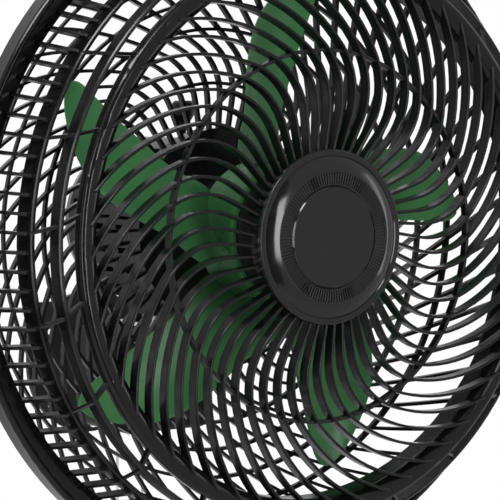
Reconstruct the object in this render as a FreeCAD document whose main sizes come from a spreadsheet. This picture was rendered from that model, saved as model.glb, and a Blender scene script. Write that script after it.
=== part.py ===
"""A wall fan with a half metre grille, in millimetres.

The wall is the plane Y = 0, the fan faces -Y and +Z is up. The origin is the middle of the wall plate's back.
Depth is the distance out from the wall, so Y = -depth. Angles about the fan's axis start at +X and run
counter-clockwise as seen from the front.
"""
import FreeCAD, Part
import Sketcher
import math
import os

SIZES = {
    # Clearances
    "running_fit": 0.06,
    "seat_gap": 0.3,
    "overshoot": 1,
    "overlap": 1,
    # Wall plate
    "plate_half_width": 62,
    "plate_top": 58,
    "plate_bottom": 58,
    "plate_thickness": 5,
    "plate_corner": 12,
    "hole_half_x": 40,
    "hole_half_z": 32,
    "hole_radius": 3,
    "lug_half_gap": 14,
    "lug_thickness": 8,
    "lug_radius": 14,
    "tilt_depth": 32,
    # Tilt clamp
    "bolt_radius": 5,
    "bolt_head_radius": 8,
    "bolt_head_length": 6,
    "clamp_knob_radius": 16,
    "clamp_knob_length": 17,
    "clamp_knob_end": 4,
    "clamp_knob_grips": 6,
    "clamp_knob_grip_radius": 5,
    "clamp_knob_grip_outset": 2,
    # Arm housing
    "arm_half_width": 42,
    "arm_back": 50,
    "arm_front": 130,
    "arm_top": 44,
    "arm_bottom": 42,
    "arm_wall": 2.5,
    "arm_corner": 8,
    "knuckle_radius": 13,
    "knuckle_gap": 0.3,
    "collar_radius": 14,
    "collar_height": 7,
    "pivot_depth": 92,
    "pivot_pin_radius": 7,
    "pivot_pin_height": 27,
    "cover_thickness": 2.5,
    "cover_boss_radius": 4,
    "cover_boss_height": 18,
    "cover_boss_inset": 11,
    "cover_web_half": 1.5,
    "cover_screw_radius": 1.5,
    "cover_screw_head": 3,
    "cover_screw_head_height": 1.8,
    "cover_screw_length": 14,
    # Pull switches and cords
    "pull_half_spread": 12.5,
    "pull_depth": 68,
    "switch_half_width": 9,
    "switch_half_length": 10,
    "switch_height": 22,
    "plunger_radius": 2.5,
    "plunger_inside": 13,
    "plunger_outside": 3,
    "eyelet_neck": 4,
    "eyelet_flange": 6.5,
    "eyelet_height": 2.5,
    "cord_radius": 1.2,
    "cord_length": 110,
    "bell_length": 24,
    "bell_radius": 7,
    "bell_top_radius": 3.5,
    "bell_shoulder": 4,
    "bell_edge": 1.2,
    # Cable inlet and capacitor
    "gland_x": 28,
    "gland_drop": 20,
    "gland_radius": 8,
    "gland_neck": 6,
    "gland_bore": 3.5,
    "gland_flange": 4,
    "capacitor_side": 36,
    "capacitor_width": 20,
    "capacitor_near": 80,
    "capacitor_far": 113,
    "capacitor_height": 24,
    # Motor
    "axis_height": 131,
    "shell_radius": 70,
    "shell_wall": 2.5,
    "shell_back": 62,
    "shell_back_radius": 50,
    "shell_shoulder": 86,
    "shell_crown_inset": 6,
    "shell_crown_depth": 9,
    "shell_edge": 4,
    "shell_inner_edge": 3,
    "mouth_margin": 2,
    "mouth_height": 24,
    "shell_split": 150,
    "shell_front": 203,
    "nose_radius": 23.7,
    "nose_length": 15,
    "vent_count": 24,
    "vent_width": 5,
    "vent_inset": 9,
    "vent_rear_inset": 4,
    "frame_radius": 48.5,
    "frame_wall": 2.5,
    "frame_back": 146,
    "frame_split": 174,
    "stator_half_length": 14,
    "rotor_radius": 24,
    "air_gap": 0.5,
    "winding_inner": 28,
    "winding_outer": 43,
    "winding_length": 8,
    "shaft_radius": 4,
    "shaft_back": 114,
    "shaft_front": 306,
    "bearing_radius": 9,
    "bearing_length": 9,
    # Oscillation gearbox
    "gear_depth": 127,
    "case_left": 26,
    "case_right": 32,
    "case_back": 108,
    "case_drop": 74,
    "case_rise": 22,
    "case_wall": 2.5,
    "case_floor": 26,
    "lid_thickness": 3,
    "hub_radius": 16,
    "hub_height": 33,
    "hub_web_half_width": 14,
    "worm_radius": 5.5,
    "worm_half_length": 7,
    "wheel_radius": 10.2,
    "wheel_half_height": 4,
    "gear_gap": 0.3,
    "gear_shaft_radius": 3,
    "gear_shaft_top": 18,
    "gear_shaft_seat": 6,
    "pinion_radius": 5,
    "pinion_height": 8,
    "crank_gear_radius": 16,
    "crank_gear_height": 7,
    "crank_shaft_radius": 4,
    "crank_radius": 16.5,
    "crank_thickness": 4,
    "crank_throw": 12,
    "crank_pin_radius": 3,
    "crank_pin_length": 2.8,
    "link_post_x": 24,
    "link_post_radius": 3,
    "link_lift": 2,
    "link_thickness": 3,
    "link_eye_radius": 6,
    "link_half_width": 3.5,
    # Oscillation knob
    "stem_radius": 2.5,
    "stem_bottom": 19,
    "stem_hole_gap": 0.8,
    "stem_socket": 4,
    "knob_bottom": 76,
    "knob_top": 100,
    "knob_radius": 9,
    "knob_neck_radius": 6,
    "knob_neck_length": 7,
    "knob_flare_length": 5,
    "knob_edge": 2,
    # Rear grille
    "rear_thickness": 5,
    "rear_disc_radius": 79,
    "rear_dish": 11,
    "rear_skirt_wall": 3,
    "rear_rib_sink": 1.5,
    "rear_rib_count": 54,
    "rear_rib_thickness": 2.6,
    "rear_rib_root": 25,
    "rear_rib_bend": 45,
    "rear_rib_bend_turn": 60,
    "rear_rib_sweep": 300,
    "rear_ring_width": 2.6,
    "rear_ring_height": 4,
    "rear_ring_setback": 0.5,
    "rear_inner_ring": 115.5,
    "rear_outer_ring": 158,
    "rear_ring_step": 21,
    "rear_ring_count": 4,
    "rear_bowl_start": 140,
    "rear_bowl_swell": 0.12,
    "rear_rim_depth": 256,
    "rear_rim_thickness": 3.5,
    "rear_rim_floor": 3,
    "rear_rim_inset": 4.4,
    "rear_rim_flange": 6,
    # Ring nut that holds the rear grille
    "nut_radius": 37,
    "nut_length": 8,
    "nut_grips": 8,
    "nut_grip_radius": 5,
    "nut_grip_outset": 2,
    # Blades
    "blade_count": 5,
    "blade_phase": 85,
    "blade_reach": 200,
    "blade_square_reach": 147.5,
    "blade_lead": 48.7,
    "blade_sweep_power": 1.75,
    "blade_tip_round": 10,
    "blade_tip_power": 8,
    "blade_chord": 60.2,
    "blade_root_lead": 6,
    "blade_root_chord": 52,
    "blade_axis_depth": 259.9,
    "blade_root_rise": 52.5,
    "blade_tip_rise": 10.2,
    "blade_camber": 5,
    "blade_root_thickness": 3.4,
    "blade_tip_thickness": 1.8,
    "hub_outer_radius": 54,
    "hub_wall": 3.5,
    "hub_back": 252,
    "hub_front": 296,
    "hub_boss_radius": 12,
    "hub_boss_back": 262,
    "hub_edge": 4,
    "drive_pin_radius": 2,
    "drive_pin_half_length": 11,
    # Spinner nut
    "spinner_radius": 50,
    "spinner_nose_radius": 20,
    "spinner_boss": 9,
    "spinner_length": 16,
    "spinner_wall": 4,
    "spinner_skirt": 3,
    "spinner_shoulder": 9,
    "spinner_taper": 8,
    # Front grille
    "rib_front": 345,
    "rib_depth": 9,
    "rib_thickness": 2.2,
    "rib_crest": 0.8,
    "rib_count": 55,
    "rib_phase": 2,
    "rib_heading": -12,
    "rib_root": 33,
    "rib_bend": 55,
    "rib_bend_turn": 60,
    "rib_sweep": 140,
    "grille_hub_radius": 62.5,
    "grille_hub_width": 10.5,
    "grille_hub_depth": 12,
    "middle_ring_radius": 139.2,
    "middle_ring_width": 2.4,
    "middle_ring_setback": 2.5,
    "middle_ring_depth": 6,
    "front_ring_radius": 212.5,
    "front_ring_width": 16,
    "front_ring_lip": 10,
    "front_ring_wall": 3.2,
    "front_ring_edge": 4,
    "front_ring_front": 344,
    "front_ring_inner_depth": 26,
    "front_ring_outer_depth": 9,
    "band_thickness": 3,
    "band_edge": 1,
    "second_band_radius": 224.8,
    "second_band_front": 335.5,
    "second_band_depth": 13,
    "first_band_radius": 234,
    "first_band_front": 312.5,
    "first_band_depth": 20,
    "rim_radius": 264.4,
    "rim_front": 281,
    "rim_back": 260,
    "rim_wall": 5.4,
    "rim_crown_width": 2.8,
    "rim_crown_height": 5,
    "rim_lip_drop": 1.5,
    "rim_back_edge_width": 3.2,
    "rim_back_edge_height": 4,
    "rim_floor": 264,
    "rim_floor_thickness": 3,
    "rim_floor_width": 15.5,
    "strut_count": 22,
    "bars_per_strut": 5,
    "bar_thickness": 2.4,
    "bar_phase": 194.1,
    "bar_root_width": 5,
    "bar_root_rise": 1,
    "bar_shoulder": 2.5,
    "bar_drop": 4,
    "bar_height": 6,
    "strut_drop": 2.4,
    "strut_height": 5,
    "strut_first_turn": 1.5,
    "strut_second_turn": 2.5,
    # Front cap
    "cap_radius": 65,
    "cap_edge_height": 3.4,
    "cap_edge_width": 4.5,
    "cap_bevel_radius": 50,
    "cap_bevel_swell": 0.03,
    "cap_rise": 6.4,
    "cap_disc_radius": 38,
    "cap_groove_count": 120,
    "cap_groove_width": 1.7,
    "cap_groove_depth": 0.6,
    "cap_groove_margin": 1.5,
    "cap_edge_round": 1,
    "cap_gutter_width": 0.6,
    "cap_gutter_depth": 0.7,
    "cap_land_width": 0.8,
    "cap_sink": 0.3,
    "cap_disc_gutter": 1,
    "cap_disc_lift": 0.2,
    "cap_spigot_depth": 6,
}

TURN = {
    "x": FreeCAD.Rotation(FreeCAD.Vector(0, 1, 0), 90),
    "depth": FreeCAD.Rotation(FreeCAD.Vector(1, 0, 0), 90),
    "z": FreeCAD.Rotation(),
}
AXES = ["x", "depth", "z"]
# How far an arc stands off its chord, as a share of the chord, for a quarter round and for a slight swell
ROUND = (math.sqrt(2) - 1) / 2
SWELL = 0.11
GROOVE_LIFT = 0.125
FORWARD = FreeCAD.Vector(0, -1, 0)
BACKWARD = FreeCAD.Vector(0, 1, 0)

doc = FreeCAD.newDocument("wall_fan")
sheet = doc.addObject("Spreadsheet::Sheet", "sizes")
nodes = []


# The sheet and the formulas that read it

def fill_sheet():
    for row, (name, value) in enumerate(SIZES.items(), start=1):
        sheet.set(f"A{row}", name)
        sheet.set(f"B{row}", str(value))
        sheet.setAlias(f"B{row}", name)
    doc.recompute()


def size(name):
    return float(sheet.get(name))


def in_sheet(formula):
    """A sum of named sizes and numbers, with each name written as the sheet's."""
    return " ".join("sizes." + word if word in SIZES else word for word in formula.split())


def total(formula):
    """The value of a sum of named sizes and numbers."""
    value = 0.0
    sign = 1
    for word in formula.split():
        if word in "+-":
            sign = 1 if word == "+" else -1
        else:
            value += sign * (size(word) if word in SIZES else float(word))
    return value


def bind(piece, name, formula):
    piece.setExpression(name, in_sheet(formula))


def place(piece, x, depth, z):
    bind(piece, "Placement.Base.x", x)
    piece.setExpression("Placement.Base.y", f"-({in_sheet(depth)})")
    bind(piece, "Placement.Base.z", z)


def node(piece, label):
    """Keep a finished sub-part under its own label."""
    piece.Label = label
    nodes.append(piece)
    return piece


# Solids with bound sizes

def box(name, x, depth, z):
    block = doc.addObject("Part::Box", name)
    for side, (low, high) in {"Length": x, "Width": depth, "Height": z}.items():
        block.setExpression(side, f"({in_sheet(high)}) - ({in_sheet(low)})")
    place(block, x[0], depth[1], z[0])
    return block


def rod(name, axis, radius, span, across):
    """A round bar along x, depth or z, with its other two coordinates in that order."""
    bar = doc.addObject("Part::Cylinder", name)
    bind(bar, "Radius", radius)
    bar.setExpression("Height", f"({in_sheet(span[1])}) - ({in_sheet(span[0])})")
    spot = list(across)
    spot.insert(AXES.index(axis), span[0])
    bar.Placement = FreeCAD.Placement(FreeCAD.Vector(), TURN[axis])
    place(bar, *spot)
    return bar


def fused(name, pieces):
    joined = doc.addObject("Part::MultiFuse", name)
    joined.Shapes = pieces
    return joined


def cut(name, base, tools):
    rest = doc.addObject("Part::Cut", name)
    rest.Base = base
    rest.Tool = tools[0] if len(tools) == 1 else fused(name + "_tools", tools)
    return rest


def tube(name, axis, outer, inner, span, across):
    outside = rod(name + "_outside", axis, outer, span, across)
    return cut(name, outside, [rod(name + "_bore", axis, inner, span, across)])


def rounded(name, base, radius, wanted):
    """Round the edges of a solid that the given test picks."""
    doc.recompute()
    edges = base.Shape.Edges
    soft = doc.addObject("Part::Fillet", name)
    soft.Base = base
    soft.Edges = [(number, radius, radius) for number, edge in enumerate(edges, start=1) if wanted(edge)]
    return soft


def shaped(name, shape):
    piece = doc.addObject("Part::Feature", name)
    piece.Shape = shape
    piece.Placement = FreeCAD.Placement()
    return piece


# Turned and sketched bodies

def origin_part(body, role):
    return next(feature for feature in body.Origin.OriginFeatures if feature.Role == role)


def new_sketch(body, name, role):
    sketch = body.newObject("Sketcher::SketchObject", name)
    sketch.AttachmentSupport = (origin_part(body, role), [""])
    sketch.MapMode = "FlatFace"
    return sketch


def hold(sketch, corner, direction, formula):
    """Hold one coordinate of a sketch's corner to a formula."""
    value = total(formula)
    if value == 0:
        axis = -2 if direction == "DistanceX" else -1
        sketch.addConstraint(Sketcher.Constraint("PointOnObject", corner, 1, axis))
        return
    number = sketch.addConstraint(Sketcher.Constraint(direction, -1, 1, corner, 1, value))
    bind(sketch, f"Constraints[{number}]", formula)


def outline_sketch(body, name, role, corners):
    """A closed outline whose corners are pairs of formulas."""
    sketch = new_sketch(body, name, role)
    spots = [FreeCAD.Vector(total(across), total(along), 0) for across, along in corners]
    count = len(spots)
    for index, spot in enumerate(spots):
        sketch.addGeometry(Part.LineSegment(spot, spots[(index + 1) % count]), False)
    for index in range(count):
        sketch.addConstraint(Sketcher.Constraint("Coincident", index, 2, (index + 1) % count, 1))
    for index, (across, along) in enumerate(corners):
        hold(sketch, index, "DistanceX", across)
        hold(sketch, index, "DistanceY", along)
    return sketch


def circle_sketch(body, name, role, radius, offset="0"):
    """A circle about the plane's middle, or moved along its first direction."""
    sketch = new_sketch(body, name, role)
    middle = FreeCAD.Vector(total(offset), 0, 0)
    sketch.addGeometry(Part.Circle(middle, FreeCAD.Vector(0, 0, 1), total(radius)), False)
    number = sketch.addConstraint(Sketcher.Constraint("Radius", 0, total(radius)))
    bind(sketch, f"Constraints[{number}]", radius)
    sketch.addConstraint(Sketcher.Constraint("PointOnObject", 0, 3, -1))
    if total(offset) == 0:
        sketch.addConstraint(Sketcher.Constraint("PointOnObject", 0, 3, -2))
    else:
        number = sketch.addConstraint(Sketcher.Constraint("DistanceX", -1, 1, 0, 3, total(offset)))
        bind(sketch, f"Constraints[{number}]", offset)
    return sketch


def revolved(name, role, corners):
    """A body turned from an outline of (radius, length along the axis) corners."""
    body = doc.addObject("PartDesign::Body", name)
    sketch = outline_sketch(body, name + "_outline", role, corners)
    turn = body.newObject("PartDesign::Revolution", name + "_turn")
    turn.Profile = sketch
    turn.ReferenceAxis = (sketch, ["V_Axis"])
    turn.Angle = 360
    return body


def on_fan_axis(body):
    """Point a body's +Y along the depth and put it on the fan's axis."""
    body.Placement = FreeCAD.Placement(FreeCAD.Vector(), FreeCAD.Rotation(FreeCAD.Vector(1, 0, 0), 180))
    bind(body, "Placement.Base.z", "axis_height")
    return body


def upright(body, x, depth, z):
    place(body, x, depth, z)
    return body


def patterned(body, feature, axis, count):
    """Repeat a body's last feature right round one of its axes."""
    pattern = body.newObject("PartDesign::PolarPattern", feature.Name + "_round")
    pattern.Originals = [feature]
    pattern.Axis = (origin_part(body, axis), [""])
    pattern.Angle = 360
    bind(pattern, "Occurrences", count)
    body.Tip = pattern


def slotted(body, corners, width, count):
    """Cut evenly spaced radial slots through a body that is turned about its Y axis."""
    pocket = body.newObject("PartDesign::Pocket", body.Name + "_slot")
    pocket.Profile = outline_sketch(body, body.Name + "_slot_outline", "XY_Plane", corners)
    pocket.SideType = "Symmetric"
    bind(pocket, "Length", width)
    doc.recompute()
    patterned(body, pocket, "Y_Axis", count)


# Shapes about the fan's axis

def at(radius, angle, depth):
    turn = math.radians(angle)
    height = size("axis_height") + radius * math.sin(turn)
    return FreeCAD.Vector(radius * math.cos(turn), -depth, height)


def spun(shape, angle):
    """A copy of a shape, turned counter-clockwise about the fan's axis."""
    copy = shape.copy()
    copy.rotate(FreeCAD.Vector(0, 0, size("axis_height")), FORWARD, angle)
    return copy


def closed_wire(corners):
    """A closed outline, where a corner's third number bulges the side that ends there by that share of it."""
    edges = []
    spots = [at(corner[0], 0, corner[1]) for corner in corners]
    turning = sum(spots[index - 1].x * spot.y - spot.x * spots[index - 1].y
                  for index, spot in enumerate(spots))
    outward = math.copysign(1, turning)
    for index, corner in enumerate(corners):
        start = spots[index - 1]
        end = spots[index]
        if len(corner) == 3:
            side = (end - start).cross(FreeCAD.Vector(0, 0, outward))
            middle = (start + end) * 0.5 + side * corner[2]
            edges.append(Part.Arc(start, middle, end).toShape())
        else:
            edges.append(Part.makeLine(start, end))
    return Part.Wire(edges)


def hoop(corners):
    """A ring about the fan's axis from an outline of (radius, depth) corners."""
    face = Part.Face(closed_wire(corners))
    return face.revolve(FreeCAD.Vector(0, 0, size("axis_height")), FORWARD, 360)


def strip_hoop(outer, width, front, depth, edge=0.0):
    """A plain band about the fan's axis, with its outer front edge broken."""
    inner = outer - width
    back = front - depth
    crown = [(outer, front - edge), (outer - edge, front)] if edge else [(outer, front)]
    return hoop([(inner, back), (outer, back)] + crown + [(inner, front)])


def fin(corners, thickness):
    """A flat bar that stands in the plane of the fan's axis at angle zero."""
    down = FreeCAD.Vector(0, 0, -thickness / 2)
    spots = [at(radius, 0, depth) + down for radius, depth in corners]
    face = Part.Face(Part.makePolygon(spots + spots[:1]))
    return face.extrude(FreeCAD.Vector(0, 0, thickness))


def wedge(start, end, floor, face, width):
    """A cutter for a V-shaped groove along the radius at angle zero, as wide as given at the face."""
    lift = (face - floor) * GROOVE_LIFT
    side = FreeCAD.Vector(0, 0, width / 2 * (1 + GROOVE_LIFT))
    point = at(start, 0, floor)
    mouth = at(start, 0, face + lift)
    outline = Part.makePolygon([point, mouth + side, mouth - side, point])
    return Part.Face(outline).extrude(at(end, 0, floor) - point)


def strip(start, end, height, thickness):
    """A flat bar between two points, its front edge on their line, that reaches back by its height."""
    back = BACKWARD * height
    across = (end - start).cross(BACKWARD).normalize()
    face = Part.Face(Part.makePolygon([start, end, end + back, start + back, start]))
    face.translate(across * (-thickness / 2))
    return face.extrude(across * thickness)


def bowed_rib(start, end, heading, root, bend, bend_turn, sweep, thickness, front, depth):
    """A rib with a straight root, a tight bend and a long sweep that ends at the given radius."""
    first = math.radians(heading)
    second = first + math.radians(bend_turn)
    root_end = (start + root * math.cos(first), root * math.sin(first))
    bend_centre = (root_end[0] - bend * math.sin(first), root_end[1] + bend * math.cos(first))
    hip = (bend_centre[0] + bend * math.sin(second), bend_centre[1] - bend * math.cos(second))
    sweep_centre = (hip[0] - sweep * math.sin(second), hip[1] + sweep * math.cos(second))
    away = math.hypot(*sweep_centre)
    reach = math.acos((end ** 2 - away ** 2 - sweep ** 2) / (2 * away * sweep))
    third = math.atan2(sweep_centre[1], sweep_centre[0]) - reach + math.pi / 2
    lift = size("axis_height")

    def on_arc(centre, radius, way):
        x = centre[0] + radius * math.sin(way)
        z = centre[1] - radius * math.cos(way)
        return FreeCAD.Vector(x, -front, lift + z)

    sides = []
    for offset in (thickness / 2, -thickness / 2):
        foot = FreeCAD.Vector(start + offset * math.sin(first), -front, lift - offset * math.cos(first))
        knee = on_arc(bend_centre, bend + offset, first)
        middle = on_arc(bend_centre, bend + offset, (first + second) / 2)
        turn_end = on_arc(bend_centre, bend + offset, second)
        far_middle = on_arc(sweep_centre, sweep + offset, (second + third) / 2)
        tip = on_arc(sweep_centre, sweep + offset, third)
        edges = [Part.makeLine(foot, knee)]
        edges.append(Part.Arc(knee, middle, turn_end).toShape())
        edges.append(Part.Arc(turn_end, far_middle, tip).toShape())
        sides.append((foot, tip, edges))
    ends = [Part.makeLine(sides[0][0], sides[1][0]), Part.makeLine(sides[0][1], sides[1][1])]
    wire = Part.Wire(Part.__sortEdges__(sides[0][2] + ends[1:] + sides[1][2] + ends[:1]))
    return Part.Face(wire).extrude(BACKWARD * depth)


# Wall plate and tilt clamp

def wall_plate():
    arc_height = "plate_half_width - plate_bottom"
    wall = ("0", "plate_thickness")
    slab = box("plate_slab", ("- plate_half_width", "plate_half_width"), wall, (arc_height, "plate_top"))
    foot = rod("plate_foot", "depth", "plate_half_width", wall, ("0", arc_height))
    shield = fused("plate_shield", [slab, foot])
    pieces = [shield]
    bores = []
    for side, sign in (("left", "-"), ("right", "")):
        low = f"{sign} lug_half_gap".strip()
        high = f"{sign} lug_half_gap {sign or '+'} lug_thickness".strip()
        reach = (high, low) if sign else (low, high)
        pieces.append(box(f"lug_{side}", reach, ("0", "tilt_depth"), ("- lug_radius", "lug_radius")))
        pieces.append(rod(f"lug_end_{side}", "x", "lug_radius", reach, ("tilt_depth", "0")))
        bores.append(rod(f"lug_bore_{side}", "x", "bolt_radius + running_fit", reach, ("tilt_depth", "0")))
        for row, height in (("low", "- hole_half_z"), ("high", "hole_half_z")):
            across = f"{sign} hole_half_x".strip()
            bores.append(rod(f"wall_hole_{side}_{row}", "depth", "hole_radius", wall, (across, height)))
    plate = cut("plate_bored", fused("plate_whole", pieces), bores)
    corner = size("plate_half_width")

    def top_corner(edge):
        spot = edge.CenterOfMass
        upright_edge = abs(edge.Length - size("plate_thickness")) < 0.01
        return upright_edge and abs(abs(spot.x) - corner) < 0.01 and abs(spot.z - size("plate_top")) < 0.01

    node(rounded("plate", plate, size("plate_corner"), top_corner), "wall_plate")


def tilt_clamp():
    outer = "lug_half_gap + lug_thickness"
    inner_face = "- lug_half_gap - lug_thickness"
    tip = "lug_half_gap + lug_thickness + clamp_knob_length - clamp_knob_end"
    shank = rod("bolt_shank", "x", "bolt_radius", (inner_face, tip), ("tilt_depth", "0"))
    head = doc.addObject("Part::Prism", "bolt_head")
    head.Polygon = 6
    bind(head, "Circumradius", "bolt_head_radius")
    bind(head, "Height", "bolt_head_length")
    head.Placement = FreeCAD.Placement(FreeCAD.Vector(), TURN["x"])
    place(head, inner_face + " - bolt_head_length", "tilt_depth", "0")
    node(fused("bolt", [shank, head]), "tilt_bolt")
    knob = doc.addObject("PartDesign::Body", "clamp_knob")
    disc = knob.newObject("PartDesign::Pad", "clamp_knob_disc")
    disc.Profile = circle_sketch(knob, "clamp_knob_round", "YZ_Plane", "clamp_knob_radius")
    bind(disc, "Length", "clamp_knob_length")
    grip = knob.newObject("PartDesign::Pocket", "clamp_knob_grip")
    grip.Profile = circle_sketch(knob, "grip_round", "YZ_Plane", "clamp_knob_grip_radius",
                                 "clamp_knob_radius + clamp_knob_grip_outset")
    bind(grip, "Length", "clamp_knob_length")
    grip.Reversed = True
    doc.recompute()
    patterned(knob, grip, "X_Axis", "clamp_knob_grips")
    place(knob, outer + " + seat_gap", "tilt_depth", "0")
    bore = rod("clamp_knob_bore", "x", "bolt_radius + running_fit", (outer, tip + " + seat_gap"),
               ("tilt_depth", "0"))
    node(cut("clamp_knob_bored", knob, [bore]), "tilt_knob")


# Arm housing with its cover, switches and pull cords

def arm_block(name):
    """The housing's whole outer form, with every edge rounded."""
    block = box(name, ("- arm_half_width", "arm_half_width"), ("arm_back", "arm_front"),
                ("- arm_bottom", "arm_top"))
    return rounded(name + "_soft", block, size("arm_corner"), lambda edge: True)


def cover_boss_spots():
    """Where the cover's four screws stand, as pairs of formulas."""
    spots = []
    for across in ("- arm_half_width + cover_boss_inset", "arm_half_width - cover_boss_inset"):
        for depth in ("arm_back + cover_boss_inset", "arm_front - cover_boss_inset"):
            spots.append((across, depth))
    return spots


def arm_housing():
    floor = "- arm_bottom + cover_thickness"
    inside = box("arm_inside", ("- arm_half_width + arm_wall", "arm_half_width - arm_wall"),
                 ("arm_back + arm_wall", "arm_front - arm_wall"), (floor, "arm_top - arm_wall"))
    wide = ("- arm_half_width - overshoot", "arm_half_width + overshoot")
    long = ("arm_back - overshoot", "arm_front + overshoot")
    below = box("arm_below", wide, long, ("- arm_bottom - overshoot", floor))
    gland_hole = rod("gland_hole", "depth", "gland_neck + running_fit", ("arm_back", "arm_back + arm_wall"),
                     ("gland_x", "- gland_drop"))
    shell = cut("arm_shell", arm_block("arm_block"), [inside, below, gland_hole])
    reach = ("- lug_half_gap + knuckle_gap", "lug_half_gap - knuckle_gap")
    web = box("knuckle_web", reach, ("tilt_depth", "arm_back + arm_wall"),
              ("- knuckle_radius", "knuckle_radius"))
    eye = rod("knuckle_eye", "x", "knuckle_radius", reach, ("tilt_depth", "0"))
    axis = ("0", "pivot_depth")
    collar = rod("pivot_collar", "z", "collar_radius",
                 ("arm_top - arm_wall", "arm_top + collar_height"), axis)
    pin = rod("pivot_pin", "z", "pivot_pin_radius",
              ("arm_top - arm_wall", "arm_top + collar_height + pivot_pin_height"), axis)
    post = rod("link_post", "z", "link_post_radius",
               ("arm_top - arm_wall", "arm_top + link_lift + link_thickness"),
               ("- link_post_x", "pivot_depth"))
    pieces = [shell, web, eye, collar, pin, post]
    bores = [rod("knuckle_bore", "x", "bolt_radius + running_fit", reach, ("tilt_depth", "0"))]
    for number, spot in enumerate(cover_boss_spots()):
        height = (floor, floor + " + cover_boss_height")
        pieces.append(rod(f"cover_boss_{number}", "z", "cover_boss_radius", height, spot))
        left = spot[0].startswith("-")
        wall = "- arm_half_width + arm_wall - overlap" if left else "arm_half_width - arm_wall + overlap"
        reach = (wall, spot[0]) if left else (spot[0], wall)
        thick = (spot[1] + " - cover_web_half", spot[1] + " + cover_web_half")
        pieces.append(box(f"cover_web_{number}", reach, thick, height))
        bores.append(rod(f"cover_bore_{number}", "z", "cover_screw_radius + running_fit",
                         (floor, floor + " + cover_screw_length + seat_gap"), spot))
    node(cut("arm", fused("arm_whole", pieces), bores), "arm_housing")


def pull_sides():
    return (("left", "- pull_half_spread"), ("right", "pull_half_spread"))


def arm_cover():
    floor = "- arm_bottom + cover_thickness"
    wide = ("- arm_half_width - overshoot", "arm_half_width + overshoot")
    long = ("arm_back - overshoot", "arm_front + overshoot")
    slab = box("cover_slab", wide, long, ("- arm_bottom - overshoot", floor))
    form = doc.addObject("Part::Common", "cover_form")
    form.Base = arm_block("cover_block")
    form.Tool = slab
    holes = []
    through = ("- arm_bottom", floor)
    for side, across in pull_sides():
        holes.append(rod(f"eyelet_hole_{side}", "z", "eyelet_neck + running_fit", through,
                         (across, "pull_depth")))
    for number, spot in enumerate(cover_boss_spots()):
        holes.append(rod(f"screw_hole_{number}", "z", "cover_screw_radius + running_fit", through, spot))
    node(cut("cover", form, holes), "arm_cover")
    screws = []
    for number, spot in enumerate(cover_boss_spots()):
        top = floor + " + cover_screw_length"
        shank = rod(f"screw_shank_{number}", "z", "cover_screw_radius", ("- arm_bottom", top), spot)
        head_span = ("- arm_bottom - cover_screw_head_height", "- arm_bottom")
        head = rod(f"screw_head_{number}", "z", "cover_screw_head", head_span, spot)
        screws.append(fused(f"screw_{number}", [shank, head]))
    group = doc.addObject("Part::Compound", "screw_group")
    group.Links = screws
    node(group, "cover_screws")


def pull_switches():
    floor = "- arm_bottom + cover_thickness"
    mouth = "- arm_bottom - eyelet_height"
    bore = "plunger_radius + running_fit"
    for side, across in pull_sides():
        spot = (across, "pull_depth")
        case = box(f"switch_case_{side}", (across + " - switch_half_width", across + " + switch_half_width"),
                   ("pull_depth - switch_half_length", "pull_depth + switch_half_length"),
                   (floor, floor + " + switch_height"))
        well = rod(f"switch_well_{side}", "z", bore, (floor, floor + " + plunger_inside + seat_gap"), spot)
        node(cut(f"switch_{side}", case, [well]), f"pull_switch_{side}")
        neck = rod(f"eyelet_neck_{side}", "z", "eyelet_neck", ("- arm_bottom", floor), spot)
        flange = rod(f"eyelet_flange_{side}", "z", "eyelet_flange", (mouth, "- arm_bottom"), spot)
        hole = rod(f"eyelet_bore_{side}", "z", bore, (mouth, floor), spot)
        form = fused(f"eyelet_form_{side}", [neck, flange])
        node(cut(f"eyelet_{side}", form, [hole]), f"cord_eyelet_{side}")
        plunger_end = mouth + " - plunger_outside"
        plunger = rod(f"plunger_{side}", "z", "plunger_radius",
                      (plunger_end, floor + " + plunger_inside"), spot)
        node(plunger, f"pull_plunger_{side}")
        cord_end = plunger_end + " - cord_length"
        cord = rod(f"cord_{side}", "z", "cord_radius", (cord_end, plunger_end), spot)
        node(cord, f"pull_cord_{side}")
        bell = revolved(f"bell_{side}", "XZ_Plane", [
            ("0", "bell_length"), ("bell_top_radius", "bell_length"),
            ("bell_top_radius", "bell_length - bell_shoulder"), ("bell_radius", "bell_shoulder"),
            ("bell_radius", "bell_edge"), ("bell_radius - bell_edge", "0"), ("0", "0")])
        node(upright(bell, across, "pull_depth", cord_end + " - bell_length"), f"pull_bell_{side}")


def arm_fittings():
    floor = "- arm_bottom + cover_thickness"
    across = ("gland_x", "- gland_drop")
    flange = rod("gland_ring", "depth", "gland_radius", ("arm_back - gland_flange", "arm_back"), across)
    neck = rod("gland_stem", "depth", "gland_neck", ("arm_back", "arm_back + arm_wall"), across)
    bore = rod("gland_way", "depth", "gland_bore", ("arm_back - gland_flange", "arm_back + arm_wall"), across)
    node(cut("gland", fused("gland_form", [flange, neck]), [bore]), "cable_gland")
    block = box("capacitor_block", ("- capacitor_side", "- capacitor_side + capacitor_width"),
                ("capacitor_near", "capacitor_far"), (floor, floor + " + capacitor_height"))
    node(block, "run_capacitor")


# Oscillation gearbox

CRANK_X = "wheel_radius + worm_radius + gear_gap - crank_gear_radius - pinion_radius - gear_gap"
WHEEL_X = "wheel_radius + worm_radius + gear_gap"
CASE_BOTTOM = "axis_height - case_drop"
CAVITY_FLOOR = CASE_BOTTOM + " + case_floor"


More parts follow.
